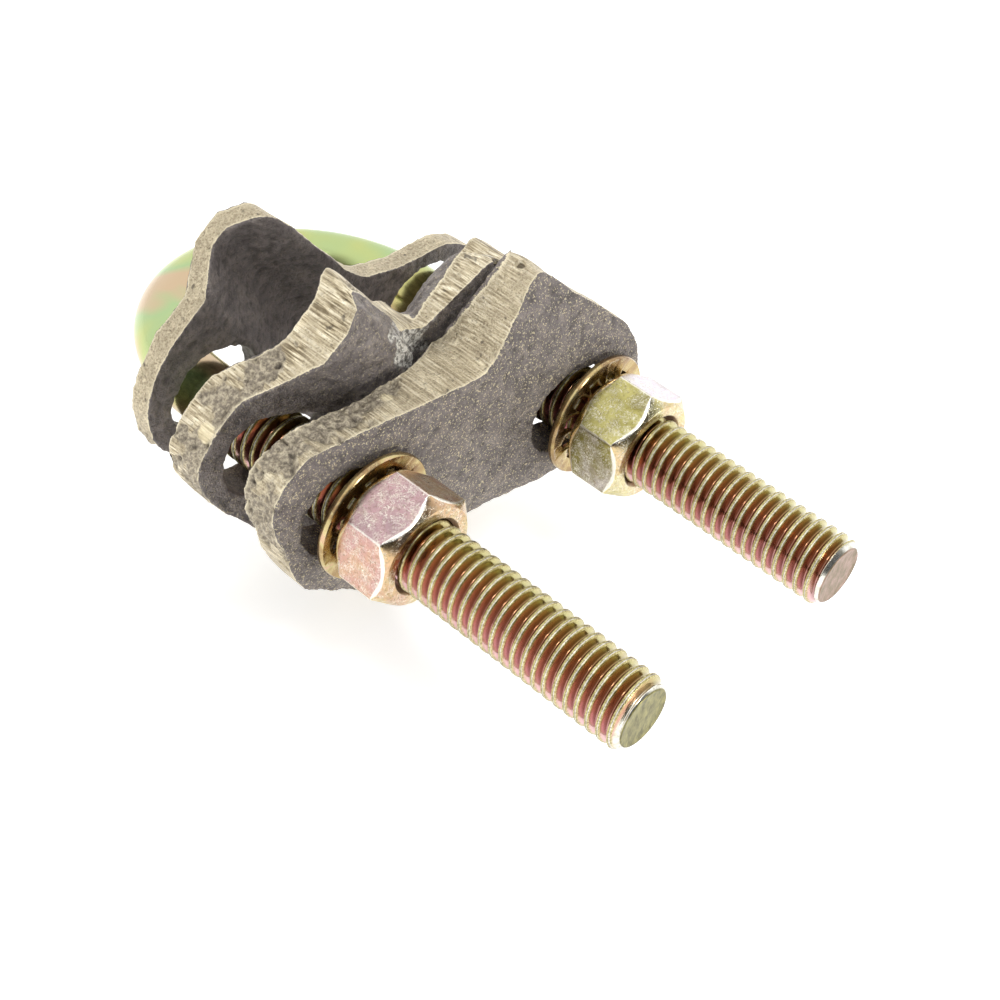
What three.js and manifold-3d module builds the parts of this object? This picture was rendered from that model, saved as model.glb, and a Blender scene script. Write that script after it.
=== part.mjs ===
// U-bolt ground clamp: three cast bronze saddles on the legs of a threaded U-bolt, held by two
// hex nuts over internal-tooth lock washers. A round ground rod is gripped between the rear and
// the middle saddle, a cable between the middle and the front saddle, and the two grooves cross.
//
// Millimetres. X runs across the two legs, -Y is the way the threaded ends point, Z is up.
// Each saddle is worked out round its own centre, with y = 0 on the front face of its ears.
// Channel coordinates are turned 45 degrees from X and Z: s points right and up, l left and up.

import * as THREE from "three";
import { mergeVertices } from "three/addons/utils/BufferGeometryUtils.js";
import Module from "manifold-3d";

const wasm = await Module();
wasm.setup();

// ---- driving dimensions ----------------------------------------------------------------------

// the legs are threaded 3/8-16 up to where the rod thins to its bent shank
const BOLT = { thread: 9.525, shank: 8.6, spacing: 38.1, threaded: 65, straight: 72.4 };
const BOLT_FACETS = { sides: 24, bendSteps: 20 };
const LEG_END = { chamfer: 0.8, shoulderLength: 0.5, shoulderInset: 0.2, shankOverlap: 2 };
const NUT = { flats: 14.29, height: 8.3, bore: 10.15, faceRadius: 6.65, chamferDrop: 1.6 };
const NUT_TURN = { left: THREE.MathUtils.degToRad(29), right: THREE.MathUtils.degToRad(36) };
const WASHER = { outer: 17.2, rootRadius: 6.9, toothRadius: 5.0, teeth: 12, thickness: 1.0 };

// distance of each piece from the plane of the threaded ends
const NUT_AT = { left: 32.8, right: 29.6 };
const WASHER_AT = { left: 41.4, right: 38.8 };
const SADDLE_AT = { front: 42.1, middle: 56.3, rear: 70.4 };

// the saddles sit loosely on the legs, so each is a little off centre and leans about Z
const SADDLE_OFFSET = { front: [-1.3, 1.0], middle: [-1.3, 1.0], rear: [0.4, 0] };
const SADDLE_LEAN = {
  front: THREE.MathUtils.degToRad(4),
  middle: THREE.MathUtils.degToRad(4),
  rear: THREE.MathUtils.degToRad(1.5),
};

const ROD_TURN = THREE.MathUtils.degToRad(-45);
const CABLE_TURN = THREE.MathUtils.degToRad(-135);
const REAR_ROD_TURN = THREE.MathUtils.degToRad(-40);

const FRONT_PLATE = { front: 0, rear: 5.8 };
const MIDDLE_PLATE = { front: -0.6, rear: 5.5 };
const REAR_PLATE = { front: 0, rear: 3.4 };

const WIDE_SLOT = { centre: 18.8, halfLength: 8.4, halfHeight: 6.0 };
const REAR_SLOT = { centre: 18.2, halfLength: 6.9, halfHeight: 6.0 };

const REACH = 40; // longer than any saddle, for prisms that run right through

// Half of each outline as [X, Z], from the left ear over the top; half a turn gives the rest.
const FRONT_OUTLINE = [
  [-29.6, -2.4], [-31.6, 1.0], [-32.2, 4.6], [-31.0, 7.8], [-27.4, 10.4], [0.4, 11.4],
  [9.2, 20.6], [10.6, 21.2], [12.4, 20.2], [15.8, 17.2], [25.3, 10.8], [28.4, 6.0],
];
const MIDDLE_OUTLINE = [
  [-29.9, -3.2], [-31.2, -0.2], [-31.0, 2.4], [-28.4, 6.8], [-23.3, 11.7], [-13.6, 21.4],
  [-12.0, 22.0], [-10.6, 21.0], [-3.2, 13.8], [-0.3, 12.7], [9.0, 19.0], [10.6, 19.4],
  [12.6, 18.5], [15.8, 16.4], [21.0, 12.4], [26.4, 7.4],
];
const REAR_OUTLINE = [
  [-28.4, -3.4], [-29.4, 1.0], [-28.6, 5.6], [-26.4, 9.6], [-22.4, 13.8], [-15.4, 20.6],
  [-13.4, 22.3], [-12.0, 23.0], [-10.4, 22.4], [2.2, 11.0], [5.8, 8.6], [12.4, 8.0],
  [20.2, 9.0], [23.6, 8.0], [26.4, 6.4],
];

// Sections of what stands on a saddle's plate or is cut from it, as [across, Y].
const FRONT_SECTIONS = {
  // across the cable channel: its floor, then the lip on its left side
  lip: [[-4, 5.6], [-2, 6.2], [3, 7.0], [7, 10.3], [12, 10.3], [12, 5.6]],
  // across the rod: the plate thickens from the ear to the lip
  shoulder: [[-6, 5.6], [2.6, 7.1], [5.4, 8.4], [7.8, 10.3], [9.4, 10.3], [9.4, 5.6]],
  // the ground corner of the lip
  lipBevel: [[8.6, 7.4], [6.8, 11], [14, 11], [14, 7.4]],
  // as [Z, Y]: the front face leans back above the ears
  frontLean: [[8, 0], [14, 1.4], [24, 5.4], [24, -2], [8, -2]],
};
const MIDDLE_SECTIONS = {
  // across the rod: the outside of the groove, which bulges forwards
  ridge: [[-12.5, 0], [-12, -0.6], [-2.3, -6.5], [2.6, -6.5], [5.4, -5.2], [7.8, -0.6], [8, 0]],
  pad: [[-12, 0], [-7, -3.2], [7, -3.2], [12, 0]],
  web: [[2, 0], [2, -4.6], [6, -3.8], [9.6, -3.4], [9.6, 0]],
  rodGroove: [[-3, 0.5], [3, 0.5], [11.8, 6], [-11.8, 6]],
  // across the cable: the lip that meets the front saddle's, and the slope behind it
  lip: [[0.5, 0], [3.5, -3.5], [12, -3.5], [12, 0]],
  rearSlope: [[14, -1.4], [9.2, -1.4], [6.2, 2.3], [2, 6], [14, 6]],
  // across the rod: the far end of the lip falls away to the rear
  tipSlope: [[22.6, -3.6], [16.7, 6], [26, 6], [26, -3.6]],
};
const REAR_SECTIONS = {
  groove: [[-6.8, 0], [-1, 4.3], [1, 4.3], [6.8, 0]],
  bulge: [[8.0, REAR_PLATE.rear], [2.3, 7.3], [-2.3, 7.3], [-8.0, REAR_PLATE.rear]],
};

// where each raised part or cut begins and ends along its channel, measured from the middle
const LIP_START = 7.6;
const SHOULDER_START = 7;
const RIDGE_START = 9;
const PAD_HALF = 9.5;
const WEB = { from: 8, to: 12.5 };
const TIP_SLOPE_START = 1;
const DEEPEST = 12; // further from a saddle's ears than any of its ridges, along Y

// ---- helpers ---------------------------------------------------------------------------------

function toSolid(geometry) {
  const bare = geometry.clone();
  bare.deleteAttribute("normal");
  bare.deleteAttribute("uv");
  const merged = mergeVertices(bare, 1e-4);
  return new wasm.Manifold(
    new wasm.Mesh({
      numProp: 3,
      vertProperties: new Float32Array(merged.attributes.position.array),
      triVerts: new Uint32Array(merged.index.array),
    }),
  );
}

function toGeometry(solid) {
  const mesh = solid.getMesh();
  const geometry = new THREE.BufferGeometry();
  geometry.setAttribute("position", new THREE.BufferAttribute(mesh.vertProperties, 3));
  geometry.setIndex(new THREE.BufferAttribute(mesh.triVerts, 1));
  geometry.computeVertexNormals();
  return geometry;
}

function polygon(points) {
  return new THREE.Shape(points.map(([x, y]) => new THREE.Vector2(x, y)));
}

// a flat shape of X and Z, carried along Y from one face to the other
function plate(shape, front, rear) {
  const geometry = new THREE.ExtrudeGeometry(shape, {
    depth: rear - front,
    bevelEnabled: false,
    curveSegments: 12,
  });
  return geometry.rotateX(Math.PI / 2).translate(0, rear, 0);
}

// a profile of (across the channel, Y), carried along a channel that is turned about Y
function channelPrism(profile, turn, from, to) {
  const geometry = new THREE.ExtrudeGeometry(polygon(profile), {
    depth: to - from,
    bevelEnabled: false,
  });
  return toSolid(geometry.translate(0, 0, from).rotateY(turn));
}

// every saddle looks the same after half a turn about Y
const halfTurn = (points) => points.map(([x, z]) => [-x, -z]);
const halfTurned = (solid) => solid.rotate([0, 180, 0]);
const withHalfTurn = (solid) => solid.add(halfTurned(solid));

function slots(slot, front, rear) {
  const shape = new THREE.Shape();
  const straight = slot.halfLength - slot.halfHeight;
  shape.absarc(straight, 0, slot.halfHeight, -Math.PI / 2, Math.PI / 2, false);
  shape.absarc(-straight, 0, slot.halfHeight, Math.PI / 2, (3 * Math.PI) / 2, false);
  const cutter = plate(shape, front, rear).translate(slot.centre, 0, 0);
  return withHalfTurn(toSolid(cutter));
}

function outlineSolid(half, front, rear) {
  return toSolid(plate(polygon([...half, ...halfTurn(half)]), front, rear));
}

// ---- the saddles -----------------------------------------------------------------------------

function frontSaddle() {
  const lip = channelPrism(FRONT_SECTIONS.lip, CABLE_TURN, -REACH, -LIP_START);
  const shoulder = channelPrism(FRONT_SECTIONS.shoulder, ROD_TURN, SHOULDER_START, REACH);
  const raised = withHalfTurn(lip.add(shoulder));
  const bevel = channelPrism(FRONT_SECTIONS.lipBevel, CABLE_TURN, -REACH, -LIP_START);
  const lean = channelPrism(
    FRONT_SECTIONS.frontLean.map(([z, y]) => [-z, y]), Math.PI / 2, -REACH, REACH,
  );
  return outlineSolid(FRONT_OUTLINE, FRONT_PLATE.front, FRONT_PLATE.rear)
    .add(raised.intersect(outlineSolid(FRONT_OUTLINE, FRONT_PLATE.front, DEEPEST)))
    .subtract(withHalfTurn(bevel.add(lean)))
    .subtract(slots(WIDE_SLOT, -DEEPEST, DEEPEST));
}

function middleSaddle() {
  const ridge = channelPrism(MIDDLE_SECTIONS.ridge, ROD_TURN, RIDGE_START, REACH);
  const web = channelPrism(MIDDLE_SECTIONS.web, ROD_TURN, WEB.from, WEB.to);
  const pad = channelPrism(MIDDLE_SECTIONS.pad, ROD_TURN, -PAD_HALF, PAD_HALF);
  const lip = channelPrism(MIDDLE_SECTIONS.lip, CABLE_TURN, -REACH, -LIP_START);
  const rearSlope = channelPrism(MIDDLE_SECTIONS.rearSlope, CABLE_TURN, -REACH, -LIP_START - 1);
  const tipSlope = channelPrism(MIDDLE_SECTIONS.tipSlope, ROD_TURN, TIP_SLOPE_START, REACH);
  const rodGroove = channelPrism(MIDDLE_SECTIONS.rodGroove, ROD_TURN, -REACH, REACH);
  const raised = withHalfTurn(ridge.add(web).add(lip)).add(pad);
  return outlineSolid(MIDDLE_OUTLINE, MIDDLE_PLATE.front, MIDDLE_PLATE.rear)
    .add(raised.intersect(outlineSolid(MIDDLE_OUTLINE, -DEEPEST, 1)))
    .subtract(rodGroove)
    .subtract(withHalfTurn(rearSlope.add(tipSlope)))
    .subtract(slots(WIDE_SLOT, -DEEPEST, DEEPEST));
}

function rearSaddle() {
  const { front, rear } = REAR_PLATE;
  const section = [
    [-REACH, front], ...REAR_SECTIONS.groove, [REACH, front],
    [REACH, rear], ...REAR_SECTIONS.bulge, [-REACH, rear],
  ];
  return channelPrism(section, REAR_ROD_TURN, -REACH, REACH)
    .intersect(outlineSolid(REAR_OUTLINE, -1, DEEPEST))
    .subtract(slots(REAR_SLOT, -DEEPEST, DEEPEST));
}

// ---- the U-bolt ------------------------------------------------------------------------------

// up the left leg, round the half circle, and down the right leg; the legs take one step each
class ShankPath extends THREE.Curve {
  getStation(u) {
    return u * (BOLT_FACETS.bendSteps + 2) - 1;
  }

  getPointAt(u, target = new THREE.Vector3()) {
    const radius = BOLT.spacing / 2;
    const foot = BOLT.threaded - LEG_END.shankOverlap;
    const station = Math.round(this.getStation(u));
    if (station < 0) return target.set(-radius, foot, 0);
    if (station > BOLT_FACETS.bendSteps) return target.set(radius, foot, 0);
    const angle = Math.PI * (1 - station / BOLT_FACETS.bendSteps);
    return target.set(radius * Math.cos(angle), BOLT.straight + radius * Math.sin(angle), 0);
  }

  getTangentAt(u, target = new THREE.Vector3()) {
    const share = this.getStation(u) / BOLT_FACETS.bendSteps;
    const angle = Math.PI * THREE.MathUtils.clamp(share, 0, 1);
    return target.set(Math.sin(angle), Math.cos(angle), 0);
  }
}

function uBolt() {
  const section = new THREE.Shape();
  for (let i = 0; i < BOLT_FACETS.sides; i += 1) {
    const angle = (2 * Math.PI * i) / BOLT_FACETS.sides;
    const point = [(BOLT.shank / 2) * Math.cos(angle), (BOLT.shank / 2) * Math.sin(angle)];
    if (i === 0) section.moveTo(...point);
    else section.lineTo(...point);
  }
  const shank = new THREE.ExtrudeGeometry(section, {
    extrudePath: new ShankPath(),
    steps: BOLT_FACETS.bendSteps + 2,
    bevelEnabled: false,
  });
  const radius = BOLT.thread / 2;
  const top = BOLT.threaded + LEG_END.shoulderLength;
  const profile = [
    [0, 0], [radius - LEG_END.chamfer, 0], [radius, LEG_END.chamfer],
    [radius, BOLT.threaded], [BOLT.shank / 2 - LEG_END.shoulderInset, top], [0, top],
  ].map(([x, y]) => new THREE.Vector2(x, y));
  const legs = [-1, 1].map((side) => {
    const leg = new THREE.LatheGeometry(profile, BOLT_FACETS.sides);
    return toSolid(leg.translate((side * BOLT.spacing) / 2, 0, 0));
  });
  return toGeometry(toSolid(shank).add(legs[0]).add(legs[1]));
}

// ---- nuts and washers ------------------------------------------------------------------------

function circleHole(diameter) {
  const hole = new THREE.Path();
  hole.absarc(0, 0, diameter / 2, 0, 2 * Math.PI, true);
  return hole;
}

function hexNut() {
  const corner = NUT.flats / Math.sqrt(3);
  const hexagon = polygon(
    [...Array(6)].map((_, i) => [
      corner * Math.cos((Math.PI * i) / 3),
      corner * Math.sin((Math.PI * i) / 3),
    ]),
  );
  hexagon.holes.push(circleHole(NUT.bore));
  const drop = NUT.chamferDrop;
  const outside = corner + 0.1; // the chamfered round is a little wider than the hexagon
  const chamfer = new THREE.LatheGeometry(
    [
      new THREE.Vector2(0, 0),
      new THREE.Vector2(NUT.faceRadius, 0),
      new THREE.Vector2(outside, drop),
      new THREE.Vector2(outside, NUT.height - drop),
      new THREE.Vector2(NUT.faceRadius, NUT.height),
      new THREE.Vector2(0, NUT.height),
    ],
    36,
  );
  const prism = toSolid(plate(hexagon, 0, NUT.height));
  return toGeometry(prism.intersect(toSolid(chamfer)));
}

// each tooth takes this stretch of its share of the ring, with sloping sides
const TOOTH = { rise: [0.45, 0.52], fall: 0.93 };

// a flat ring whose inner edge is cut into teeth
function toothWasher() {
  const ring = new THREE.Shape();
  ring.absarc(0, 0, WASHER.outer / 2, 0, 2 * Math.PI, false);
  const inner = [];
  const share = (2 * Math.PI) / WASHER.teeth;
  for (let i = 0; i < WASHER.teeth; i += 1) {
    for (const [part, radius] of [
      [0, WASHER.rootRadius], [TOOTH.rise[0], WASHER.rootRadius],
      [TOOTH.rise[1], WASHER.toothRadius], [TOOTH.fall, WASHER.toothRadius],
    ]) {
      const angle = (i + part) * share;
      inner.push(new THREE.Vector2(radius * Math.cos(angle), radius * Math.sin(angle)));
    }
  }
  ring.holes.push(new THREE.Path(inner));
  return plate(ring, 0, WASHER.thickness);
}

// ---- materials -------------------------------------------------------------------------------

const bronze = () => new THREE.MeshStandardMaterial({ color: 0x7d7360, roughness: 0.6, metalness: 0.9 });
const zinc = () => new THREE.MeshStandardMaterial({ color: 0xb09a55, roughness: 0.3, metalness: 1.0 });

// ---- the assembly ----------------------------------------------------------------------------

function piece(name, geometry, material) {
  const mesh = new THREE.Mesh(geometry, material);
  mesh.name = name;
  return mesh;
}

const clamp = new THREE.Group();
clamp.add(piece("u_bolt", uBolt(), zinc()));

const saddles = { front: frontSaddle(), middle: middleSaddle(), rear: rearSaddle() };
for (const [where, solid] of Object.entries(saddles)) {
  const saddle = piece(`${where}_saddle`, toGeometry(solid), bronze());
  const [across, up] = SADDLE_OFFSET[where];
  saddle.position.set(across, SADDLE_AT[where], up);
  saddle.rotation.z = -SADDLE_LEAN[where];
  clamp.add(saddle);
}

const legAt = { left: -BOLT.spacing / 2, right: BOLT.spacing / 2 };
for (const [side, x] of Object.entries(legAt)) {
  const washer = piece(`${side}_lock_washer`, toothWasher(), zinc());
  washer.position.set(x, WASHER_AT[side], 0);
  clamp.add(washer);

  const nut = piece(`${side}_nut`, hexNut(), zinc());
  nut.position.set(x, NUT_AT[side], 0);
  nut.rotation.y = -NUT_TURN[side];
  clamp.add(nut);
}

// the origin is the middle of the bounding box, on its lowest level
const box = new THREE.Box3().setFromObject(clamp, true);
const middle = box.getCenter(new THREE.Vector3());
clamp.position.set(-middle.x, -middle.y, -box.min.z);

const root = new THREE.Group();
root.add(clamp);

export default root;
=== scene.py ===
"""Looks of a U-bolt ground clamp: sand-cast bronze saddles on a zinc-plated, threaded U-bolt.

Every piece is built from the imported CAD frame. The castings are their own CAD solids, remeshed and
given a cast skin. The U-bolt, nuts and washers are rings of points round the legs, placed by the
frame's boxes. All lengths are metres. MM turns a size in millimetres into metres.
"""

import math

import bmesh
import bpy
import numpy as np
from mathutils import Matrix, Vector, noise


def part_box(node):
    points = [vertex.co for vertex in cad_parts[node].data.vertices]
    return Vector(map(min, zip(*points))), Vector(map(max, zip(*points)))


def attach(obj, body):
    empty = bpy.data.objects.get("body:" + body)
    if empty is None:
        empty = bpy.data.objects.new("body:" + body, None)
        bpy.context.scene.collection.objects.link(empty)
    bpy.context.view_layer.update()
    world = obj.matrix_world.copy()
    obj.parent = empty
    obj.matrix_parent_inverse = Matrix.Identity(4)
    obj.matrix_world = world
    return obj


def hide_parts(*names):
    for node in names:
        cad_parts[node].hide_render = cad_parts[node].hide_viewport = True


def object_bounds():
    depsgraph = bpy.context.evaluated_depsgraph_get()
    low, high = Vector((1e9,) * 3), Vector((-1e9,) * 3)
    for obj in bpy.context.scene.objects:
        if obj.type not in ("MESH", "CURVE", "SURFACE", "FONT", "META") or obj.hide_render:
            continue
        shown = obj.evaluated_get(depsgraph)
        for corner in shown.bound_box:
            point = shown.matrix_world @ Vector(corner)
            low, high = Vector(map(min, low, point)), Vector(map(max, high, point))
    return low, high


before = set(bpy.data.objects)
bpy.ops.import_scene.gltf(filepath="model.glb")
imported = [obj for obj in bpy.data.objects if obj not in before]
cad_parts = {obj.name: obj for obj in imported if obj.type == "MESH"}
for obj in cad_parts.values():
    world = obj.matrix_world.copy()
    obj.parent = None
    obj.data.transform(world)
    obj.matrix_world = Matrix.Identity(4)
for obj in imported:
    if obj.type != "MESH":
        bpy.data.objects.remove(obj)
cad_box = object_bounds()

MM = 0.001
TAU = 2 * math.pi

# ---- sizes taken from the frame ----------------------------------------------------------------

# the U-bolt's legs lie along Y, and their threaded ends have the lowest Y
bolt_low, bolt_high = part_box("u_bolt")
LEG_Z = (bolt_low.z + bolt_high.z) / 2
LEG_END_Y = bolt_low.y
THREAD_RADIUS = (bolt_high.z - bolt_low.z) / 2
LEG_X = {"left": bolt_low.x + THREAD_RADIUS, "right": bolt_high.x - THREAD_RADIUS}
MIDDLE_X = (LEG_X["left"] + LEG_X["right"]) / 2
BEND_RADIUS = (LEG_X["right"] - LEG_X["left"]) / 2
SHANK_RADIUS = 4.3 * MM
BEND_Y = bolt_high.y - SHANK_RADIUS - BEND_RADIUS

# ---- sizes of the threads, nuts and washers ----------------------------------------------------

PITCH = 25.4 / 16 * MM
THREAD_LENGTH = 65.6 * MM
THREAD_DEPTH = 0.98 * MM
# the crests stay this far inside the CAD's cylinder
CREST_TRIM = 0.02 * MM
# half widths of a thread's crest, of its root and of the seam along the crest, in pitches
CREST_HALF, ROOT_HALF, SEAM_HALF = 0.13, 0.07, 0.04
SEAM_DEPTH = 0.1 * MM
# the pale plating of the crests reaches this far down the flanks, in pitches
CREST_TINT = 0.21
# the thread fades into the plain shank between these distances from the leg's end
RUNOUT_START, RUNOUT_END = THREAD_LENGTH - 1.6 * PITCH, THREAD_LENGTH - 0.2 * PITCH
# the leg's end is this much thinner all round, and widens by this much for each metre along
END_CHAMFER, END_CHAMFER_SLOPE = 1.0 * MM, 0.9
# the slightly dished end face: shares of its rim's radius, each with its depth
END_FACE = ((0.02, 0.08 * MM), (0.5, 0.09 * MM), (0.86, 0.1 * MM), (0.94, 0.05 * MM))
# where along its leg each thread has a crest, as a share of the pitch
THREAD_PHASE = {"left": 0.805, "right": 0.43}
# the plating's tint drifts round each leg from this angle, from gold through copper to pink
TINT_TOP = math.radians(47)

# points in each ring of the rod, rings in a pitch, and steps along the plain shank and the bend
BOLT_COLUMNS = 64
ROWS_PER_PITCH = 17
PLAIN_STEPS, BEND_STEPS = 6, 96

NUT_FLATS = 14.29 * MM
NUT_FACE_RADIUS = 6.65 * MM
# the nut's thread starts from a funnel of this radius, and stands this far off the bolt's thread
NUT_MOUTH = THREAD_RADIUS + 0.55 * MM
NUT_CLEARANCE = 0.14 * MM
NUT_CORNER_TRIM = 0.1 * MM
# the edge between the chamfer and a flat is rolled over by this much in the middle of the flat
NUT_ROLLED = 1.2 * MM
NUT_COLUMNS, NUT_THREAD_ROWS = 240, 60
# the angle that each of the six flats takes up
FLAT_ANGLE = math.pi / 3
NUT_TURN = {"left": math.radians(29), "right": math.radians(36)}
# tint of each flat and of the two ends, from 0 to 1 along the nuts' colour ramp
NUT_TINTS = {
    "left": {"flats": (0.34, 0.06, 0.24, 0.5, 0.3, 0.7), "ends": 0.36},
    "right": {"flats": (0.95, 0.66, 0.78, 0.4, 0.6, 0.2), "ends": 0.44},
}

WASHER_TEETH = 12
WASHER_TURN = {"left": 0.3, "right": 0.1}  # as a share of one tooth's turn
TOOTH_COLUMNS = 24
# distances from the leg's axis, and how far the outer edge is bevelled
TOOTH_ROOT, TOOTH_TIP = 6.7 * MM, 5.0 * MM
WASHER_EDGE = 0.14 * MM

# ---- small mesh helpers ------------------------------------------------------------------------


def add_mesh(name, vertices, faces):
    mesh = bpy.data.meshes.new(name)
    mesh.from_pydata([tuple(v) for v in vertices], [], faces)
    mesh.validate()
    mesh.shade_smooth()
    piece = bpy.data.objects.new(name, mesh)
    bpy.context.collection.objects.link(piece)
    return piece


def ring_faces(rings, columns, closed_rings=False):
    """Quads between rings of equal length; closed_rings also joins the last ring to the first."""
    faces = []
    last = rings if closed_rings else rings - 1
    for r in range(last):
        a, b = r * columns, (r + 1) % rings * columns
        for c in range(columns):
            d = (c + 1) % columns
            faces.append((a + c, a + d, b + d, b + c))
    return faces


def clean(piece, distance=0.1e-6):
    """Merges points that coincide and turns every face outwards."""
    mesh = bmesh.new()
    mesh.from_mesh(piece.data)
    bmesh.ops.remove_doubles(mesh, verts=mesh.verts, dist=distance)
    bmesh.ops.dissolve_degenerate(mesh, edges=mesh.edges, dist=distance)
    bmesh.ops.recalc_face_normals(mesh, faces=mesh.faces)
    mesh.to_mesh(piece.data)
    mesh.free()


def crease(piece, degrees):
    """Smooth shading, with a crease wherever two faces meet at more than this angle."""
    limit = math.radians(degrees)
    mesh = bmesh.new()
    mesh.from_mesh(piece.data)
    for edge in mesh.edges:
        edge.smooth = len(edge.link_faces) == 2 and edge.calc_face_angle(0) < limit
    mesh.to_mesh(piece.data)
    mesh.free()


def smoothstep(low, high, value):
    t = np.clip((value - low) / (high - low), 0, 1)
    return t * t * (3 - 2 * t)


def noise_at(points, size, seed):
    """Perlin noise, about -0.6 to 0.6, at each point, with features about size metres across."""
    shift = Vector((seed * 7.13, seed * 3.71, seed * 5.37))
    return np.array([noise.noise(Vector(p) / size + shift) for p in points])


def points_of(mesh):
    out = np.zeros(len(mesh.vertices) * 3)
    mesh.vertices.foreach_get("co", out)
    return out.reshape(-1, 3)


def normals_of(mesh):
    out = np.zeros(len(mesh.vertices) * 3)
    mesh.vertex_normals.foreach_get("vector", out)
    return out.reshape(-1, 3)


def set_attribute(piece, name, values):
    layer = piece.data.attributes.new(name, "FLOAT", "POINT")
    layer.data.foreach_set("value", np.asarray(values, np.float32))


def leg_ring(side, angles, radius, y):
    """Points round a leg's axis; radius and y may change with the angle."""
    x = LEG_X[side] + radius * np.cos(angles)
    z = LEG_Z + radius * np.sin(angles)
    return np.stack([x, np.broadcast_to(y, len(angles)), z], axis=1)


def finish_piece(piece, body, node):
    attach(piece, body)
    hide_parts(node)
    return piece


# ---- threads and the U-bolt --------------------------------------------------------------------


def from_crest(angle, along, side):
    """How far past the nearest crest of a leg's thread, in pitches, from -0.5 to 0.5."""
    turns = along / PITCH + angle / TAU + THREAD_PHASE[side]
    return (turns + 0.5) % 1.0 - 0.5


def thread_radius(angle, along, side):
    """Radius of a leg at an angle round it and a distance from its end."""
    place = np.abs(from_crest(angle, along, side))
    flank = np.clip((place - CREST_HALF) / (0.5 - ROOT_HALF - CREST_HALF), 0, 1)
    seam = SEAM_DEPTH * (1 - smoothstep(0, SEAM_HALF, place))
    runout = smoothstep(RUNOUT_START, RUNOUT_END, along)
    threaded = THREAD_RADIUS - CREST_TRIM - THREAD_DEPTH * flank - seam
    end_chamfer = THREAD_RADIUS - END_CHAMFER + along * END_CHAMFER_SLOPE
    return np.minimum(threaded * (1 - runout) + SHANK_RADIUS * runout, end_chamfer)


def leg_rings(side, angles):
    """Rings of one leg, from the middle of its end face to the start of the bend."""
    rim = thread_radius(angles, 0.0, side)
    rings = [
        leg_ring(side, angles, share * rim, LEG_END_Y + depth) for share, depth in END_FACE
    ]
    rows = int(THREAD_LENGTH / PITCH * ROWS_PER_PITCH)
    for row in range(rows + 1):
        along = THREAD_LENGTH * row / rows
        radius = thread_radius(angles, along, side)
        rings.append(leg_ring(side, angles, radius, LEG_END_Y + along))
    start = LEG_END_Y + THREAD_LENGTH
    for step in range(1, PLAIN_STEPS):
        y = start + (BEND_Y - start) * step / PLAIN_STEPS
        rings.append(leg_ring(side, angles, SHANK_RADIUS, y))
    return rings


def bend_rings(angles):
    """Rings round the half circle from the left leg to the right, whose sections turn with it."""
    rings = []
    offset = SHANK_RADIUS * np.cos(angles)
    for step in range(BEND_STEPS + 1):
        turn = math.pi * (1 - step / BEND_STEPS)
        inwards = np.array([-math.cos(turn), -math.sin(turn)])
        x = MIDDLE_X + inwards[0] * (offset - BEND_RADIUS)
        y = BEND_Y + inwards[1] * (offset - BEND_RADIUS)
        rings.append(np.stack([x, y, LEG_Z + SHANK_RADIUS * np.sin(angles)], axis=1))
    return rings


def tint_bolt(bolt):
    """Marks where the plating's tints and wear lie: per point, from the thread's own formula."""
    points = points_of(bolt.data)
    along = points[:, 1] - LEG_END_Y
    crest, crest_side, around, depth = (np.zeros(len(points)) for _ in range(4))
    for side, here in (("left", points[:, 0] < MIDDLE_X), ("right", points[:, 0] >= MIDDLE_X)):
        angle = np.arctan2(points[:, 2] - LEG_Z, points[:, 0] - LEG_X[side])
        place = from_crest(angle, along, side)
        on_crest = 1 - smoothstep(CREST_TINT - 0.04, CREST_TINT + 0.03, np.abs(place))
        crest = np.where(here, on_crest, crest)
        across = np.clip(0.5 + place / (2 * CREST_TINT), 0, 1)
        crest_side = np.where(here, across, crest_side)
        around = np.where(here, 0.5 + 0.5 * np.cos(angle - TINT_TOP), around)
        # depth: how far down a flank each point lies, for the painted shade in the thread's roots
        depth = np.where(here, smoothstep(CREST_HALF, 0.5 - ROOT_HALF, np.abs(place)), depth)
    threaded = 1 - smoothstep(THREAD_LENGTH - 2 * PITCH, THREAD_LENGTH, along)
    collar = 1 - smoothstep(0.5 * MM, 0.8 * MM, along)
    set_attribute(bolt, "crest", np.maximum(crest * threaded, collar))
    set_attribute(bolt, "crest_side", crest_side * (1 - collar))
    set_attribute(bolt, "around", around)
    set_attribute(bolt, "depth", depth * threaded * (1 - collar))
    set_attribute(bolt, "collar", collar)
    set_attribute(bolt, "right_leg", points[:, 0] > MIDDLE_X)
    set_attribute(bolt, "threaded", threaded)
    set_attribute(bolt, "end_face", 1 - smoothstep(0.11 * MM, 0.16 * MM, along))


def build_u_bolt():
    columns = BOLT_COLUMNS
    angles = np.arange(columns) * TAU / columns
    # on the right leg the bend's sections are turned half round, so its rings run the other way
    mirrored = (columns // 2 - np.arange(columns)) % columns
    right = [ring[mirrored] for ring in reversed(leg_rings("right", angles))]
    rings = leg_rings("left", angles) + bend_rings(angles) + right
    faces = ring_faces(len(rings), columns)
    faces.append(tuple(range(columns)))
    faces.append(tuple(range(len(rings) * columns - 1, (len(rings) - 1) * columns - 1, -1)))
    bolt = add_mesh("bent_threaded_rod", np.concatenate(rings), faces)
    clean(bolt)
    tint_bolt(bolt)
    return finish_piece(bolt, "u_bolt", "u_bolt")


# ---- nuts --------------------------------------------------------------------------------------


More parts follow.
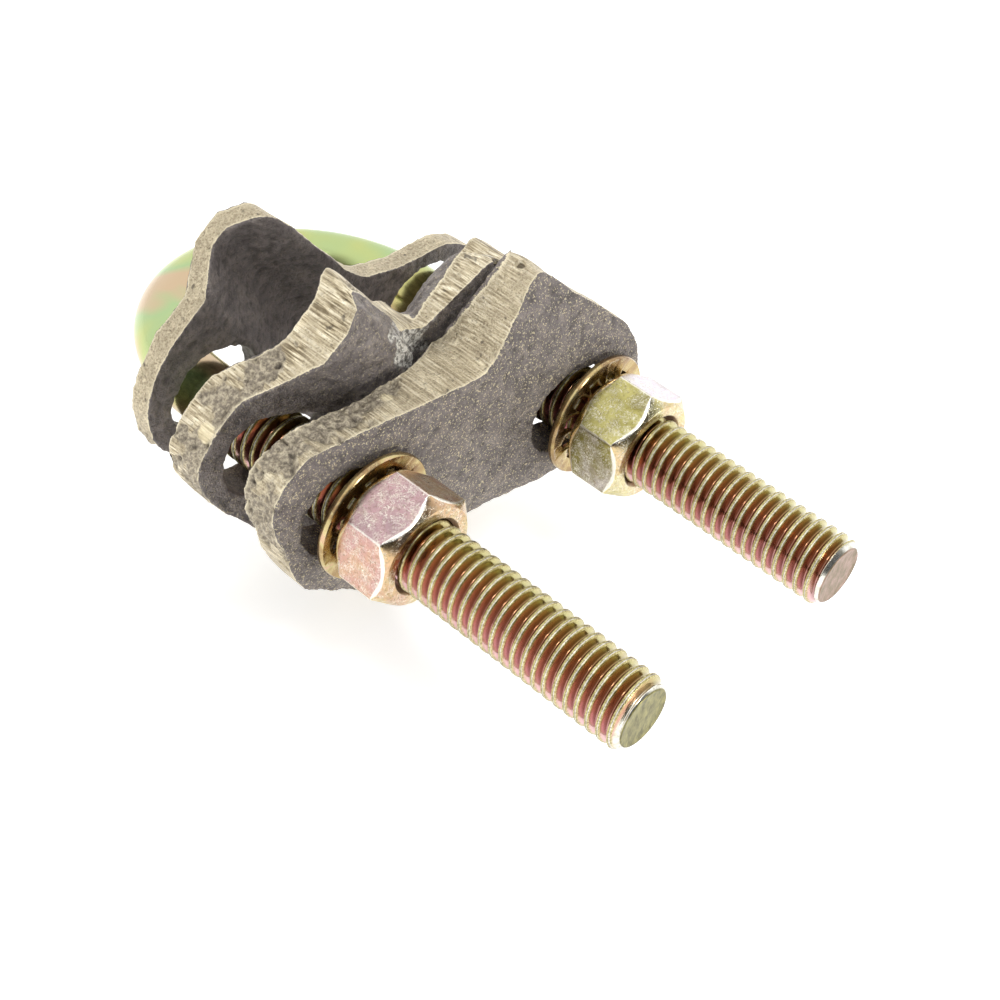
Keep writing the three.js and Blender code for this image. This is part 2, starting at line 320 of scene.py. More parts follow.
def nut_rings(side, low, high):
    """Rings round the outside of a nut from its front to its rear, and back along its thread."""
    height = high.y - low.y
    angles = NUT_TURN[side] + np.arange(NUT_COLUMNS) * TAU / NUT_COLUMNS
    half = NUT_FLATS / 2
    sharp = half / math.cos(FLAT_ANGLE / 2)
    from_corner = (angles - NUT_TURN[side]) % FLAT_ANGLE
    to_flat = half / np.cos(from_corner - FLAT_ANGLE / 2)
    outside = np.minimum(to_flat, sharp - NUT_CORNER_TRIM)
    chamfer = outside - NUT_FACE_RADIUS  # a 45 degree cone cuts every corner
    rolled = NUT_ROLLED * (1 - ((outside - half) / (sharp - half)) ** 0.7)

    def outer_end(from_end):
        """Rings from the end face out to the flats; from_end turns a depth into a Y."""
        profile = [(NUT_FACE_RADIUS - inset, 0.0) for inset in (0.5 * MM, 0.12 * MM)]
        for share in (0.04, 0.25, 0.5):
            profile.append((NUT_FACE_RADIUS + chamfer * share, chamfer * share))
        for t in (0.15, 0.3, 0.45, 0.6, 0.75, 0.9, 1.0):
            short = 0.5 * chamfer * (1 - t) ** 2
            profile.append((outside - short, chamfer - short + rolled * t * t))
        return [leg_ring(side, angles, radius, from_end(depth)) for radius, depth in profile]

    face_hole = NUT_MOUTH + 0.1 * MM
    rings = [leg_ring(side, angles, face_hole, low.y)]
    rings += outer_end(lambda depth: low.y + depth)
    for share in (0.3, 0.5, 0.7):
        rings.append(leg_ring(side, angles, outside, low.y + height * share))
    rings += outer_end(lambda depth: high.y - depth)[::-1]
    rings.append(leg_ring(side, angles, face_hole, high.y))
    for row in range(NUT_THREAD_ROWS + 1):
        y = height * (1 - row / NUT_THREAD_ROWS)
        funnel = NUT_MOUTH - min(y, height - y)
        threaded = thread_radius(angles, low.y + y - LEG_END_Y, side) + NUT_CLEARANCE
        rings.append(leg_ring(side, angles, np.maximum(threaded, funnel), low.y + y))
    return rings


def tint_nut(nut, side):
    """Marks each flat's tint, the bore, the chamfer, the worn corners and the rolled edges with
    their painted highlight, per point.
    """
    points, normals = points_of(nut.data), normals_of(nut.data)
    angle = np.arctan2(points[:, 2] - LEG_Z, points[:, 0] - LEG_X[side])
    radius = np.hypot(points[:, 2] - LEG_Z, points[:, 0] - LEG_X[side])
    past_corner = (angle - NUT_TURN[side]) % FLAT_ANGLE
    flat = ((angle - NUT_TURN[side]) // FLAT_ANGLE).astype(int) % 6
    outer = radius > NUT_MOUTH
    lean = np.abs(normals[:, 1])
    tints = NUT_TINTS[side]
    at_end = smoothstep(0.3, 0.6, lean)
    tint = np.array(tints["flats"])[flat] * (1 - at_end) + tints["ends"] * at_end
    set_attribute(nut, "tint", tint)
    set_attribute(nut, "bore", 1 - smoothstep(NUT_MOUTH - 0.2 * MM, NUT_MOUTH + 0.1 * MM, radius))
    set_attribute(nut, "rim", smoothstep(0.25, 0.5, lean) * outer)
    # edge: the rolled edges between the flats and the chamfers, painted pale as their highlight;
    # corner: the corners, worn by the spanner
    edge = smoothstep(0.1, 0.3, lean) * (1 - smoothstep(0.5, 0.66, lean))
    to_corner = radius * np.minimum(past_corner, FLAT_ANGLE - past_corner)
    corner = 0.75 * (1 - smoothstep(0.06 * MM, 0.3 * MM, to_corner)) * (lean < 0.6)
    set_attribute(nut, "edge", np.maximum(edge, corner) * outer)


def build_nut(side):
    node = f"{side}_nut"
    rings = nut_rings(side, *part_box(node))
    faces = ring_faces(len(rings), NUT_COLUMNS, closed_rings=True)
    nut = add_mesh(f"{side}_hex_nut", np.concatenate(rings), faces)
    clean(nut)
    crease(nut, degrees=24)
    tint_nut(nut, side)
    return finish_piece(nut, node, node)


# ---- lock washers ------------------------------------------------------------------------------


def build_washer(side):
    node = f"{side}_lock_washer"
    low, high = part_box(node)
    thickness = high.y - low.y
    outer = (high.x - low.x) / 2
    columns = WASHER_TEETH * TOOTH_COLUMNS
    angles = np.arange(columns) * TAU / columns
    share = (np.arange(columns) / TOOTH_COLUMNS + WASHER_TURN[side]) % 1.0
    # a tooth fills the first part of its share of the ring, and a gap the rest
    tooth = smoothstep(0.04, 0.12, share) * (1 - smoothstep(0.56, 0.64, share))
    inner = TOOTH_ROOT + (TOOTH_TIP - TOOTH_ROOT) * tooth
    twist = (share - 0.34) * 2.6 * tooth  # each tooth is turned about its own radius
    front, back = 0.12 * thickness, 0.88 * thickness

    def at(radius, y):
        """A ring that is lifted along Y where it crosses the twisted teeth."""
        into_tooth = np.clip((TOOTH_ROOT - radius) / (TOOTH_ROOT - TOOTH_TIP), 0, 1)
        lift = twist * into_tooth * thickness * 0.8
        return leg_ring(side, angles, radius, low.y + np.clip(y + lift, 0, thickness))

    def face(y, rim_y, dish):
        """Rings of one face, from the outer edge to the teeth."""
        rings = []
        steps = 6
        for step in range(steps + 1):
            across = (step / steps) ** 0.8
            radius = (outer - WASHER_EDGE) * (1 - across) + inner * across
            rings.append(at(radius, rim_y if step == 0 else y + dish * step / steps))
        return rings

    rings = face(front, 0.0, 0.1 * thickness)
    rings.append(at(inner, (front + back) / 2))
    rings += face(back, thickness, 0.0)[::-1]
    for depth in (0.8, 0.2):
        rings.append(leg_ring(side, angles, outer, low.y + thickness * depth))
    faces = ring_faces(len(rings), columns, closed_rings=True)
    washer = add_mesh(f"{side}_toothed_washer", np.concatenate(rings), faces)
    clean(washer, 0.01e-6)
    crease(washer, degrees=40)
    return finish_piece(washer, f"{side}_washer", node)


# ---- castings ----------------------------------------------------------------------------------

# how finely a casting is remeshed, and how often its faces and its edges are evened out
VOXEL = 0.28 * MM
SOFTEN_ROUNDS = 26
EDGE_ROUNDS = 3

# the slots for the legs, measured from a saddle's middle; their walls keep the dark cast skin
SLOT_CENTRE, SLOT_STRAIGHT, SLOT_REACH = 18.6 * MM, 2.4 * MM, 6.9 * MM

# the noises that roughen a casting: the size of their features, and what is added to its seed
RELIEF = {
    "wander": (5 * MM, 4), "lumps": (2.4 * MM, 1), "grain": (0.9 * MM, 2), "grit": (0.6 * MM, 3),
}
# the skin is sunk by this many mm, so that little of its relief meets the CAD's box, where it is
# clipped this far inside
SUNK = 0.12
BOX_MARGIN = 0.01 * MM

# Spots are (centre, radius) in mm from the middle of a casting's box.
# striated: how strongly its edge faces are scored
# specked: how many golden specks its skin shows
# coarse: where the cast grain is left on the edge faces
# the glint spots are flat spots on the edge faces, smoothed and given a painted highlight
# silver: where the cast skin is bare
# pits: small blow holes, sunk into the skin, with painted shade in them
CASTINGS = {
    "rear": {
        "seed": 1.0, "striated": 0.0, "specked": 0.12,
        "silver": [], "painted_glint": [], "pits": [((24, -2, -11), 0.7)],
        "coarse": [((-29, 0, -6), 3.5), ((28, 0, 4), 4)],
    },
    "middle": {
        "seed": 6.0, "striated": 1.0, "specked": 0.4,
        "silver": [((-4, -3.8, 12.6), 4.2)], "painted_glint": [((-29, 3.0, 5.6), 1.3)],
        "coarse": [
            ((-30, 0, 0), 7.5), ((-26, 1, 8), 5), ((-21, 2, 12.5), 3.6), ((-12, 0, 20), 1.8),
            ((30, 0, -3), 7), ((22, 0, -14), 3),
        ],
        "pits": [((10.4, -4.0, 18.7), 0.7), ((12.4, -0.4, 18.6), 0.8), ((-25, 4, 8), 0.5)],
    },
    "front": {
        "seed": 11.0, "striated": 0.6, "specked": 0.85,
        "silver": [], "painted_glint": [((-12.5, 0.7, 10.8), 0.8)],
        "coarse": [
            ((-31, 0, 1), 6.5), ((-27, 1, 8), 4), ((-21.5, 2.6, 10.6), 4.4), ((-16, 3.2, 10.8), 4),
            ((-11.5, 3.4, 10.9), 2.8), ((31, 0, -3), 7), ((20, 2, -12), 5),
        ],
        "pits": [((10.2, 2.0, 20.5), 0.7), ((7.2, 2.4, 17.6), 0.5)],
    },
}


def spread(values, edges, keep, rounds, pull=0.6):
    """Evens out values between the ends of the kept edges."""
    a, b = edges[keep, 0], edges[keep, 1]
    size = len(values)
    count = np.bincount(a, minlength=size) + np.bincount(b, minlength=size)
    used = count > 0
    values = values.copy()
    for _ in range(rounds):
        total = np.bincount(a, values[b], size) + np.bincount(b, values[a], size)
        values[used] = (1 - pull) * values[used] + pull * total[used] / count[used]
    return values


def soften(points, normals, edges):
    """Rounds the front and rear faces along Y, the outline in X and Z, then every edge a little."""
    lean = normals[:, 1]
    outline = np.abs(lean) < 0.75
    passes = [
        (lean < -0.45, 1, SOFTEN_ROUNDS), (lean > 0.45, 1, SOFTEN_ROUNDS),
        (outline, 0, 3 * SOFTEN_ROUNDS), (outline, 2, 3 * SOFTEN_ROUNDS),
    ]
    for group, axis, rounds in passes:
        keep = group[edges[:, 0]] & group[edges[:, 1]]
        evened = spread(points[:, axis], edges, keep, rounds)
        points[:, axis] = np.where(group, evened, points[:, axis])
    every = np.full(len(edges), True)
    for axis in range(3):
        points[:, axis] = spread(points[:, axis], edges, every, EDGE_ROUNDS, 0.5)
    return points


def near_spots(points, spots, wobble):
    """1 inside the spots and 0 outside, with a ragged border."""
    inside = np.zeros(len(points))
    for centre, radius in spots:
        distance = np.linalg.norm(points / MM - np.array(centre), axis=1) / radius
        inside = np.maximum(inside, 1 - smoothstep(0.85, 1.0, distance + 0.7 * wobble))
    return inside


def remeshed(node, name):
    """A fine, even mesh in the shape of one of the frame's nodes, as a new piece."""
    piece = bpy.data.objects.new(name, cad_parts[node].data.copy())
    piece.data.materials.clear()
    bpy.context.collection.objects.link(piece)
    remesh = piece.modifiers.new("skin", "REMESH")
    remesh.mode = "VOXEL"
    remesh.voxel_size = VOXEL
    graph = bpy.context.evaluated_depsgraph_get()
    fine = bpy.data.meshes.new_from_object(piece.evaluated_get(graph))
    piece.modifiers.clear()
    piece.data = fine
    fine.name = name
    fine.shade_smooth()
    return piece


def slot_walls(from_middle):
    """1 in and close round the slots, and so on their walls, and 0 further off."""
    out = np.abs(from_middle[:, 0])
    along_slot = np.maximum(np.abs(out - SLOT_CENTRE) - SLOT_STRAIGHT, 0)
    from_slot = np.hypot(along_slot, from_middle[:, 2])
    return 1 - smoothstep(SLOT_REACH - 0.3 * MM, SLOT_REACH, from_slot)


def build_casting(place):
    node, look = f"{place}_saddle", CASTINGS[place]
    piece = remeshed(node, f"{place}_casting")
    mesh = piece.data
    points, normals = points_of(mesh), normals_of(mesh)
    edges = np.zeros(len(mesh.edges) * 2, int)
    mesh.edges.foreach_get("vertices", edges)
    edges = edges.reshape(-1, 2)
    lean = np.abs(normals[:, 1])
    points = soften(points, normals, edges)

    # the edge faces are ground bright, but for the slots' walls
    low, high = (np.array(corner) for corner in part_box(node))
    from_middle = points - (low + high) / 2
    bright = (1 - smoothstep(0.32, 0.55, lean)) * (1 - slot_walls(from_middle))
    ground = spread(bright, edges, np.full(len(edges), True), 5)

    wander, lumps, grain, grit = (
        noise_at(points, size, look["seed"] + shift) for size, shift in RELIEF.values()
    )
    wobble = lumps + 0.5 * grain
    coarse, painted_glint, silver = (
        near_spots(from_middle, look[kind], wobble) for kind in ("coarse", "painted_glint", "silver")
    )
    coarse = coarse * (1 - painted_glint)
    pits = near_spots(from_middle, look["pits"], 0.4 * wobble)

    # the relief, in mm along the normals: rough where the cast skin is left, and deep in the pits
    rough = np.maximum((1 - ground) * 0.5, 1.6 * coarse * ground) + 0.3 * silver
    lift = 0.26 * wander + 0.1 * lumps + rough * (0.14 * lumps + 0.26 * grain + 0.2 * grit)
    lift = lift - SUNK - 0.1 * coarse * ground - 0.6 * pits
    points = points + normals * (lift * MM)[:, None]
    points = np.clip(points, low + BOX_MARGIN, high - BOX_MARGIN)
    mesh.vertices.foreach_set("co", points.ravel())
    mesh.update()

    # painted shade: darkest where the relief sinks lowest, and in the blow holes
    painted_pit_shade = np.clip(-(1.2 * grain + 0.9 * grit + 0.5 * lumps), 0, 1)
    marks = {
        "ground": ground,
        "coarse": coarse,
        "painted_glint": painted_glint,
        "silver": silver * smoothstep(0.3, 0.7, lean),
        "striated": np.full(len(points), look["striated"]),
        "specked": np.full(len(points), look["specked"]),
        "painted_pit_shade": np.maximum(painted_pit_shade, pits),
    }
    for mark, values in marks.items():
        set_attribute(piece, mark, values)
    return finish_piece(piece, node, node)


# ---- materials ---------------------------------------------------------------------------------


class Nodes:
    """A material's node tree, with short calls for the nodes used here."""

    def __init__(self, name):
        self.material = bpy.data.materials.new(name)
        self.material.use_nodes = True
        self.tree = self.material.node_tree
        self.shader = self.tree.nodes["Principled BSDF"]

    def add(self, kind, settings=(), **inputs):
        node = self.tree.nodes.new(kind)
        for key, value in dict(settings).items():
            setattr(node, key, value)
        for key, value in inputs.items():
            self.set(node, key.replace("_", " "), value)
        return node

    def set(self, node, socket, value):
        target = node.inputs[int(socket) if socket.isdigit() else socket]
        if isinstance(value, bpy.types.NodeSocket):
            self.tree.links.new(value, target)
        else:
            target.default_value = value

    def place(self, scale=(1.0, 1.0, 1.0)):
        """Where a point is on the object, optionally squeezed along its axes."""
        where = self.add("ShaderNodeTexCoord").outputs["Object"]
        if scale == (1.0, 1.0, 1.0):
            return where
        return self.add("ShaderNodeMapping", Vector=where, Scale=scale).outputs["Vector"]

    def noise(self, size, detail, rough, where=None, distortion=0.0):
        where = where or self.place()
        node = self.add("ShaderNodeTexNoise", Vector=where, Scale=1 / size, Detail=detail)
        self.set(node, "Roughness", rough)
        self.set(node, "Distortion", distortion)
        return node.outputs["Fac"]

    def ramp(self, factor, stops):
        node = self.add("ShaderNodeValToRGB", Fac=factor)
        elements = node.color_ramp.elements
        while len(elements) < len(stops):
            elements.new(0.5)
        for element, (place, colour) in zip(elements, stops):
            element.position = place
            element.color = (*colour, 1) if isinstance(colour, tuple) else (colour,) * 3 + (1,)
        return node.outputs["Color"]

    def mix(self, factor, a, b):
        node = self.add("ShaderNodeMix", {"data_type": "RGBA"})
        for socket, value in ((0, factor), (6, a), (7, b)):
            if isinstance(value, tuple):
                value = (*value, 1)
            self.set(node, str(socket), value)
        return node.outputs[2]

    def math(self, operation, a, b=0.0, clamp=False):
        node = self.add("ShaderNodeMath", {"operation": operation, "use_clamp": clamp})
        self.set(node, "0", a)
        self.set(node, "1", b)
        return node.outputs[0]

    def times(self, a, b):
        return self.math("MULTIPLY", a, b)

    def about_zero(self, value):
        """Moves a value whose middle is 0.5, such as a noise, to a middle of 0."""
        return self.math("SUBTRACT", value, 0.5)

    def bump(self, height, distance, strength):
        node = self.add("ShaderNodeBump", Strength=strength, Distance=distance, Height=height)
        return node.outputs["Normal"]

    def attribute(self, name):
        return self.add("ShaderNodeAttribute", {"attribute_name": name}).outputs["Fac"]

    def scratches(self, size, width, share):
        """Thin curved lines, only in some areas; a higher share leaves fewer of them."""
        line = self.noise(size, 2, 0.5, distortion=1.2)
        line = self.math("ABSOLUTE", self.about_zero(line))
        line = self.ramp(line, [(0.0, 1.0), (width, 0.0)])
        stops = [(share - 0.06, 0.0), (share + 0.06, 1.0)]
        area = self.ramp(self.noise(size * 2.5, 3, 0.6), stops)
        return self.times(line, area)

    def finish(self, **inputs):
        for key, value in inputs.items():
            self.set(self.shader, key.replace("_", " "), value)
        return self.material


def rgb(text):
    """A linear colour from a web colour such as 'a79a77'."""
    parts = [int(text[i : i + 2], 16) / 255 for i in (0, 2, 4)]
    return tuple(p / 12.92 if p <= 0.04045 else ((p + 0.055) / 1.055) ** 2.4 for p in parts)


def grey(value):
    return (value, value, value)


def cast_bronze():
    n = Nodes("cast_bronze")
    names = ("ground", "coarse", "painted_pit_shade", "striated", "specked", "painted_glint", "silver")
    ground, coarse, painted_pit_shade, striated, specked, painted_glint, silver = (n.attribute(name) for name in names)
    mottling = n.noise(2.2 * MM, 5, 0.65)
    grains = n.noise(0.5 * MM, 3, 0.65)
    dust = n.noise(0.24 * MM, 2, 0.6)

    # the cast skin: grey-brown, with painted shade in its pits, and small golden specks
    skin = n.ramp(mottling, [(0.32, rgb("6a6361")), (0.5, rgb("7d7572")), (0.7, rgb("938a83"))])
    skin = n.mix(n.times(painted_pit_shade, 0.6), skin, rgb("45403e"))
    skin = n.mix(n.ramp(grains, [(0.36, 0.5), (0.46, 0.0)]), skin, rgb("4b4543"))
    specks = n.ramp(dust, [(0.585, 0.0), (0.63, 1.0)])
    skin = n.mix(n.times(specks, specked), skin, rgb("dccfaa"))
    stops = [(0.38, rgb("74716c")), (0.48, rgb("b5b2ab")), (0.56, rgb("eeebe3"))]
    skin = n.mix(silver, skin, n.ramp(grains, stops))

    # the edge faces: scores run across them, along Y, over a fine speckle
    speckle = n.mix(0.5, dust, grains)
    plain = n.ramp(speckle, [(0.38, rgb("9a8d74")), (0.5, rgb("bdb096")), (0.6, rgb("d8ccae"))])
    drawn_out = (1.0, 0.06, 1.0)
    fine_scores = n.noise(0.24 * MM, 2, 0.5, n.place(drawn_out))
    wide_scores = n.noise(0.7 * MM, 2, 0.5, n.place(drawn_out))
    scores = n.mix(0.35, fine_scores, wide_scores)
    scored = n.ramp(
        scores,
        [
            (0.40, rgb("71644d")), (0.47, rgb("b3a588")),
            (0.53, rgb("d6c9ab")), (0.6, rgb("f8efd6")),
        ],
    )
    patchy = n.ramp(n.noise(3.5 * MM, 3, 0.6), [(0.36, 0.35), (0.56, 1.0)])
    how_scored = n.times(striated, patchy)
    bare = n.mix(how_scored, plain, scored)
    dull = n.ramp(mottling, [(0.4, 0.0), (0.62, 0.6)])
    bare = n.mix(n.times(dull, 0.6), bare, rgb("a0937c"))
    grainy = n.ramp(grains, [(0.38, rgb("80776a")), (0.5, rgb("9f9584")), (0.6, rgb("c2b7a0"))])
    # painted shade in the pits of the coarse grain
    grainy = n.mix(n.times(painted_pit_shade, 0.34), grainy, rgb("554f48"))
    bare = n.mix(n.times(coarse, 0.95), bare, grainy)
    bare = n.mix(n.ramp(dust, [(0.3, 0.6), (0.4, 0.0)]), bare, rgb("6f6554"))
    # painted shade in the deepest pits and in the blow holes
    bare = n.mix(n.ramp(painted_pit_shade, [(0.7, 0.0), (1.0, 0.7)]), bare, rgb("3f3934"))
    # painted highlight on the flat spots
    bare = n.mix(n.times(painted_glint, 0.8), bare, n.mix(0.6, scored, rgb("e9dbb4")))

    # a ragged border between the two, with a pale burr along it, painted bright as its highlight
    ragged = n.math("ADD", n.times(grains, 0.7), n.times(mottling, 0.5))
    edge = n.math("ADD", ground, n.math("SUBTRACT", ragged, 0.6))
    mask = n.ramp(edge, [(0.44, 0.0), (0.52, 1.0)])
    # painted highlight along the burr on the border
    burr_highlight = n.ramp(edge, [(0.42, 0.0), (0.54, 0.85), (0.86, 0.0)])
    colour = n.mix(burr_highlight, n.mix(mask, skin, bare), rgb("efe4c6"))
    rough = n.mix(mask, n.mix(silver, grey(0.55), grey(0.33)), n.mix(coarse, grey(0.4), grey(0.46)))
    metal = n.mix(mask, n.mix(silver, grey(0.35), grey(0.5)), grey(0.85))
    cast_height = n.mix(0.4, grains, dust)
    scored_height = n.mix(how_scored, n.mix(0.5, speckle, dust), n.mix(0.8, dust, scores))
    ground_height = n.mix(n.times(coarse, 0.85), scored_height, cast_height)
    normal = n.bump(n.mix(mask, cast_height, ground_height), 0.38 * MM, 1.0)
    return n.finish(Base_Color=colour, Roughness=rough, Metallic=metal, Normal=normal)


def bolt_zinc():
    """Chromated zinc: copper on the thread's flanks, silver and gold on its crests and the bend."""
    n = Nodes("bolt_zinc")
    crest, crest_side, around, depth = (
        n.attribute(name) for name in ("crest", "crest_side", "around", "depth")
    )
    collar, right_leg, threaded, end = (
        n.attribute(name) for name in ("collar", "right_leg", "threaded", "end_face")
    )
    drift = n.noise(12 * MM, 2, 0.5)
    blotch = n.noise(0.9 * MM, 4, 0.6)
    grit = n.noise(0.22 * MM, 3, 0.7)
    where = n.math("ADD", around, n.times(n.about_zero(drift), 0.4))
    where = n.math("ADD", where, n.times(n.about_zero(blotch), 0.25))
    flank = n.ramp(
        where,
        [
            (0.06, rgb("d6abac")), (0.25, rgb("c5958a")), (0.50, rgb("bb8c74")),
            (0.74, rgb("b39068")), (0.92, rgb("ab9766")), (1.0, rgb("b3ab72")),
        ],
    )
    # painted shade: the flanks darken towards the thread's roots
    flank = n.mix(n.ramp(depth, [(0.5, 0.0), (1.0, 0.5)]), flank, rgb("5c3d28"))
    gold = n.ramp(grit, [(0.36, rgb("857950")), (0.48, rgb("b0a468")), (0.6, rgb("cfc798"))])
    silver = n.ramp(grit, [(0.38, rgb("a0978a")), (0.55, rgb("e4e0d6"))])
    lines = n.ramp(crest_side, [(0.2, 1.0), (0.32, 0.0), (0.44, 0.0), (0.56, 1.0)])
    top = n.mix(lines, silver, gold)
    # painted shade: a dark line along the groove of each crest's seam
    seam = n.ramp(crest_side, [(0.42, 0.0), (0.5, 0.7), (0.58, 0.0)])
    top = n.mix(seam, top, rgb("5f5138"))
    thread = n.mix(crest, flank, top)
    shank = n.ramp(
        n.math("ADD", drift, n.times(n.about_zero(around), 0.2)),
        [
            (0.24, rgb("b8917a")), (0.35, rgb("bdb077")), (0.50, rgb("b2bb7c")),
            (0.64, rgb("a2b886")), (0.76, rgb("c0a98a")),
        ],
    )
    colour = n.mix(threaded, shank, thread)
    collar_tone = n.ramp(blotch, [(0.35, rgb("c3bfae")), (0.6, rgb("eeece2"))])
    colour = n.mix(collar, colour, collar_tone)
    brushed = n.noise(0.5 * MM, 4, 0.65, n.place((1.0, 1.0, 0.4)))
    near_face = n.ramp(brushed, [(0.35, rgb("656041")), (0.65, rgb("9a9463"))])
    far_face = n.ramp(brushed, [(0.35, rgb("766a4e")), (0.65, rgb("a78d80"))])
    colour = n.mix(end, colour, n.mix(right_leg, near_face, far_face))
    rough = n.mix(crest, n.ramp(blotch, [(0.3, 0.1), (0.75, 0.2)]), grey(0.28))
    rough = n.mix(threaded, grey(0.2), rough)
    rough = n.mix(collar, rough, grey(0.22))
    rough = n.mix(end, rough, grey(0.4))
    height = n.mix(crest, n.times(blotch, 0.15), grit)
    height = n.mix(collar, height, n.times(blotch, 0.3))
    normal = n.bump(height, 0.06 * MM, 0.6)
    return n.finish(Base_Color=colour, Roughness=rough, Metallic=1.0, Normal=normal)


def nut_zinc():
    """Chromated zinc from pink through gold and olive to lilac, scuffed by the spanner."""
    n = Nodes("nut_zinc")
    tint, rim, bore, edge = (n.attribute(name) for name in ("tint", "rim", "bore", "edge"))
    drift = n.about_zero(n.noise(4.5 * MM, 3, 0.55, distortion=0.5))
    stops = [
        (0.00, rgb("a98f92")), (0.12, rgb("bd9a9c")), (0.24, rgb("c49a8e")), (0.36, rgb("cbab82")),
        (0.48, rgb("cfc58c")), (0.62, rgb("bdb573")), (0.76, rgb("81783f")), (0.95, rgb("d9cfd8")),
    ]
    colour = n.ramp(n.math("ADD", tint, n.times(drift, 0.42), True), stops)
    blotch = n.noise(0.8 * MM, 4, 0.6)
    scuffed = n.ramp(n.noise(2.2 * MM, 5, 0.7), [(0.5, 0.0), (0.66, 0.3)])
    colour = n.mix(scuffed, colour, rgb("cfc8ae"))
    pores = n.ramp(n.noise(0.3 * MM, 3, 0.65), [(0.34, 0.55), (0.46, 0.0)])
    colour = n.mix(pores, colour, rgb("6f6048"))
    lines = n.math("MAXIMUM", n.scratches(0.9 * MM, 0.02, 0.45), n.scratches(0.45 * MM, 0.035, 0.5))
    colour = n.mix(n.times(lines, 0.9), colour, rgb("f6f2e4"))
    # pale where the corners are worn, and a painted highlight along the rolled edges
    ragged = n.times(n.about_zero(blotch), 0.8)
    worn = n.ramp(n.math("ADD", edge, ragged), [(0.3, 0.0), (0.8, 0.9)])
    colour = n.mix(worn, colour, rgb("f4f0e4"))
    colour = n.mix(bore, colour, rgb("8a6c4c"))
    rough = n.ramp(blotch, [(0.3, 0.24), (0.75, 0.42)])
    rough = n.mix(rim, rough, grey(0.2))
    height = n.math("ADD", n.times(blotch, 0.5), n.times(lines, -0.5))
    normal = n.bump(height, 0.03 * MM, 0.5)
    return n.finish(Base_Color=colour, Roughness=rough, Metallic=1.0, Normal=normal)


def washer_zinc():
    """Chromated spring steel: dark olive gold, with paler worn streaks."""
    n = Nodes("washer_zinc")
    drift = n.noise(3.0 * MM, 3, 0.5, distortion=0.6)
    colour = n.ramp(
        drift,
        [
            (0.34, rgb("8f7456")), (0.5, rgb("af9568")),
            (0.62, rgb("c2b381")), (0.7, rgb("c9a587")),
        ],
    )
    worn = n.scratches(0.5 * MM, 0.05, 0.5)
    colour = n.mix(n.times(worn, 0.6), colour, rgb("d9cfa0"))
    rough = n.ramp(n.noise(0.6 * MM, 3, 0.6), [(0.3, 0.14), (0.7, 0.28)])
    normal = n.bump(drift, 0.02 * MM, 0.4)
    return n.finish(Base_Color=colour, Roughness=rough, Metallic=1.0, Normal=normal)


def paint(piece, material):
    piece.data.materials.clear()
    piece.data.materials.append(material)


# ---- stage -------------------------------------------------------------------------------------

CAMERA_LENS, CAMERA_SENSOR = 67.83, 36  # in mm
CAMERA_AZIMUTH, CAMERA_ELEVATION, CAMERA_ROLL = -54.96, 38.44, 11.97
# from the middle of the two leg ends
CAMERA_SPOT = Vector((-150.66, -67.82, 141.80)) * MM


def build_camera():
    data = bpy.data.cameras.new("camera")
    data.lens = CAMERA_LENS
    data.sensor_width = CAMERA_SENSOR
    data.clip_start, data.clip_end = 0.01, 20
    camera = bpy.data.objects.new("camera", data)
    bpy.context.collection.objects.link(camera)
    azimuth, elevation = math.radians(CAMERA_AZIMUTH), math.radians(CAMERA_ELEVATION)
    level = math.cos(elevation)
    ahead = Vector((-math.sin(azimuth) * level, math.cos(azimuth) * level, -math.sin(elevation)))
    upright = ahead.to_track_quat("-Z", "Y").to_matrix()
    turned = upright @ Matrix.Rotation(math.radians(CAMERA_ROLL), 3, "Z")
    leg_ends = Vector((MIDDLE_X, LEG_END_Y, LEG_Z))
    camera.matrix_world = Matrix.Translation(leg_ends + CAMERA_SPOT) @ turned.to_4x4()
    bpy.context.scene.camera = camera


FLOOR_GLOW = 0.45
FLOOR_REACH = 15  # far enough that no view shows its edge
FLOOR_GAP = 0.3 * MM


def build_floor():
    corners = [(-FLOOR_REACH, -FLOOR_REACH, 0), (FLOOR_REACH, -FLOOR_REACH, 0)]
    corners += [(-x, -y, 0) for x, y, _ in corners]
    floor = add_mesh("floor", corners, [(0, 1, 2, 3)])
    floor.location.z = cad_box[0].z - FLOOR_GAP
    n = Nodes("floor_paper")
    tone = n.ramp(n.noise(0.4, 2, 0.5), [(0.3, 0.9), (0.7, 0.93)])
    # like paper on a light table, so that shadows stay faint
    n.finish(Emission_Color=(1, 1, 1, 1), Emission_Strength=FLOOR_GLOW)
    paint(floor, n.finish(Base_Color=tone, Roughness=0.9))


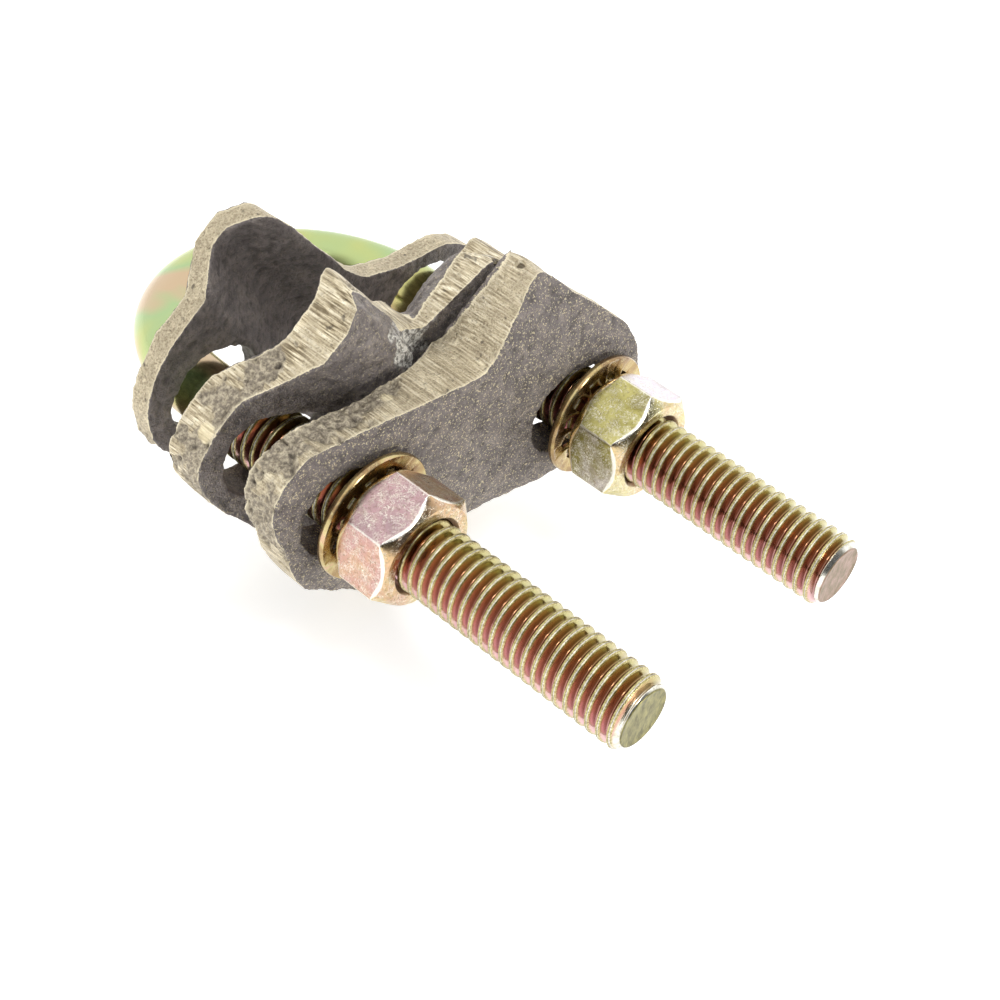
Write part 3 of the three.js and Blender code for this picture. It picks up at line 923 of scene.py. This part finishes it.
def area_light(name, place, size, power):
    """A soft box at a place, turned to the middle of the clamp."""
    data = bpy.data.lights.new(name, "AREA")
    data.shape = "RECTANGLE"
    data.size, data.size_y = size
    data.energy = power
    light = bpy.data.objects.new(name, data)
    bpy.context.collection.objects.link(light)
    light.location = place
    centre = (cad_box[0] + cad_box[1]) / 2
    light.rotation_mode = "QUATERNION"
    light.rotation_quaternion = (centre - Vector(place)).to_track_quat("-Z", "Y")


# the studio is white all round but for a dark side, towards this direction; between these
# cosines of the angle from it, the studio fades from its tone to white
DARK_SIDE = Vector((-0.25, -0.88, 0.3)).normalized()
WHITE_UP_TO, DARK_FROM = 0.35, 0.82
DARK_TONE = (0.07, 0.07, 0.075, 1)
STUDIO_LEVEL = 1.35
# soft boxes: place and size in metres, and power in watts
LIGHTS = {
    "key": ((-0.12, -0.26, 0.56), (0.12, 0.2), 1.1),
    "front_low": ((0.25, -0.72, 0.07), (0.12, 0.18), 1.4),
}


def build_lights():
    world = bpy.data.worlds.new("studio")
    world.use_nodes = True
    tree = world.node_tree
    direction = tree.nodes.new("ShaderNodeTexCoord")
    towards_dark = tree.nodes.new("ShaderNodeVectorMath")
    towards_dark.operation = "DOT_PRODUCT"
    towards_dark.inputs[1].default_value = DARK_SIDE
    shade = tree.nodes.new("ShaderNodeValToRGB")
    shade.color_ramp.interpolation = "EASE"
    low, high = shade.color_ramp.elements
    low.position, low.color = WHITE_UP_TO, (1, 1, 1, 1)
    high.position, high.color = DARK_FROM, DARK_TONE
    tree.links.new(direction.outputs["Generated"], towards_dark.inputs[0])
    tree.links.new(towards_dark.outputs["Value"], shade.inputs["Fac"])
    tree.links.new(shade.outputs["Color"], tree.nodes["Background"].inputs["Color"])
    tree.nodes["Background"].inputs["Strength"].default_value = STUDIO_LEVEL
    bpy.context.scene.world = world
    for name, (place, size, power) in LIGHTS.items():
        area_light(name, place, size, power)
    bpy.context.scene.view_settings.view_transform = "Standard"


# ---- the clamp ---------------------------------------------------------------------------------

build_camera()
build_floor()
build_lights()

paint(build_u_bolt(), bolt_zinc())
nut_finish = nut_zinc()
washer_finish = washer_zinc()
for side in ("left", "right"):
    paint(build_nut(side), nut_finish)
    paint(build_washer(side), washer_finish)

bronze = cast_bronze()
for place in CASTINGS:
    paint(build_casting(place), bronze)
